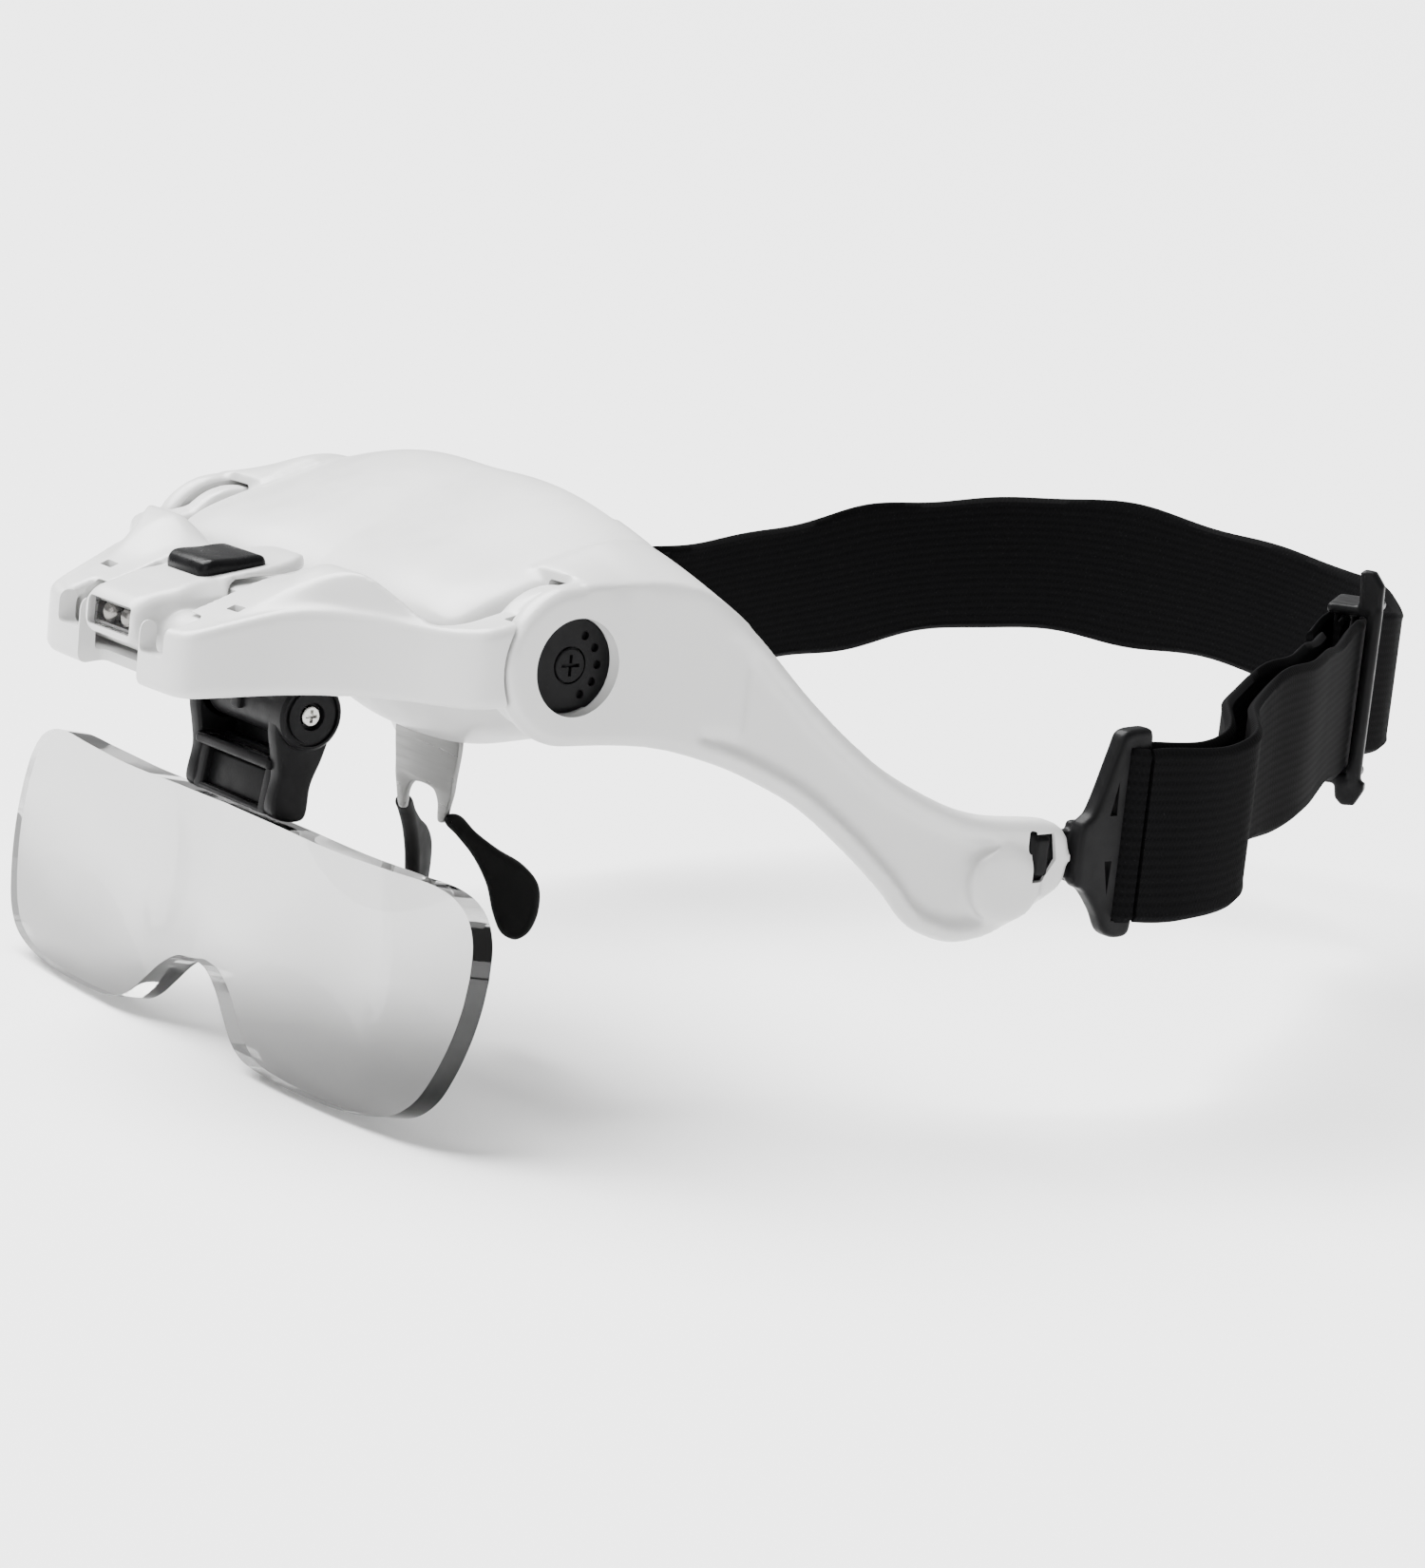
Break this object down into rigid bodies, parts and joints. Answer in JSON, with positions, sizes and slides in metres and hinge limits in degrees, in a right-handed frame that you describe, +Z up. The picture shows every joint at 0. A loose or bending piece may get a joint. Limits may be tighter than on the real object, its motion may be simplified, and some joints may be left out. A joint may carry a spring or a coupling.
{
  "type": "head visor magnifier",
  "caption": "Head-worn magnifier with a white forehead body, tilting lamp bracket, hinged twin lens on a holder, soft nose pads and an elastic head strap.",
  "frame": {"origin": "bridge of the nose, midway between the two nose pads", "axes": "+Z up, the wearer looks along -Y, +X to the wearer's left"},
  "size_m": [0.1385, 0.2296, 0.0718],
  "materials": {
    "white_plastic": "smooth, semi-gloss",
    "black_plastic": "satin",
    "silicone": "soft matte",
    "webbing": "ribbed elastic",
    "clear_acrylic": "polished",
    "steel": "satin",
    "bright_steel": "plated",
    "cell_wrap": "printed sleeve, plain",
    "reflector": "metallised"
  },
  "bodies": {
    "visor": {"visor_body": "white_plastic", "battery_1": "cell_wrap", "battery_2": "cell_wrap", "battery_3": "cell_wrap", "contact_left": "steel", "contact_right": "steel", "nose_bracket": "steel", "nose_pad_left": "silicone", "nose_pad_right": "silicone", "pivot_disc_left": "black_plastic", "pivot_disc_right": "black_plastic", "pivot_sleeve_left": "steel", "pivot_sleeve_right": "steel", "pivot_screw_left": "black_plastic", "pivot_screw_right": "black_plastic"},
    "door": {"battery_door": "white_plastic"},
    "bracket": {"tilt_bracket": "white_plastic", "hinge_block": "black_plastic", "holder_pin": "steel"},
    "lamp": {"lamp_housing": "white_plastic", "lamp_reflector": "reflector", "led_left": "clear_acrylic", "led_right": "clear_acrylic", "lamp_window": "clear_acrylic"},
    "switch": {"switch_cap": "black_plastic"},
    "holder": {"lens_holder": "black_plastic", "holder_screw_left": "bright_steel", "holder_screw_right": "bright_steel"},
    "lens": {"lens": "clear_acrylic"},
    "strap": {"strap_clip_left": "black_plastic", "strap_clip_right": "black_plastic", "strap_main": "webbing", "strap_return": "webbing", "strap_far_end": "webbing", "strap_hook_left": "webbing", "strap_hook_right": "webbing"},
    "slider": {"strap_slider": "black_plastic", "slider_fold": "webbing"}
  },
  "joints": [
    {"name": "bracket_tilt", "type": "hinge", "parent": "visor", "child": "bracket", "pos_m": [0, -0.0122, 0.037], "axis": [-1, 0, 0], "range_deg": [-12, 55]},
    {"name": "lamp_tilt", "type": "hinge", "parent": "bracket", "child": "lamp", "pos_m": [0, -0.0446, 0.0346], "axis": [1, 0, 0], "range_deg": [0, 18]},
    {"name": "switch_slide", "type": "slide", "parent": "lamp", "child": "switch", "axis": [0, -0.9896, -0.1437], "range_m": [0, 0.0025]},
    {"name": "holder_tilt", "type": "hinge", "parent": "bracket", "child": "holder", "pos_m": [0, -0.0287, 0.0253], "axis": [-1, 0, 0], "range_deg": [-8, 45]},
    {"name": "lens_pull", "type": "slide", "parent": "holder", "child": "lens", "axis": [0, -0.1582, -0.9874], "range_m": [0, 0.012]},
    {"name": "door_lift", "type": "slide", "parent": "visor", "child": "door", "axis": [0, 0, 1], "range_m": [0, 0.012]},
    {"name": "strap_unplug", "type": "slide", "parent": "visor", "child": "strap", "axis": [0, 1, 0], "range_m": [0, 0.012]},
    {"name": "slider_shift", "type": "slide", "parent": "strap", "child": "slider", "axis": [-0.5751, 0.8181, 0], "range_m": [-0.006, 0.006]}
  ]
}
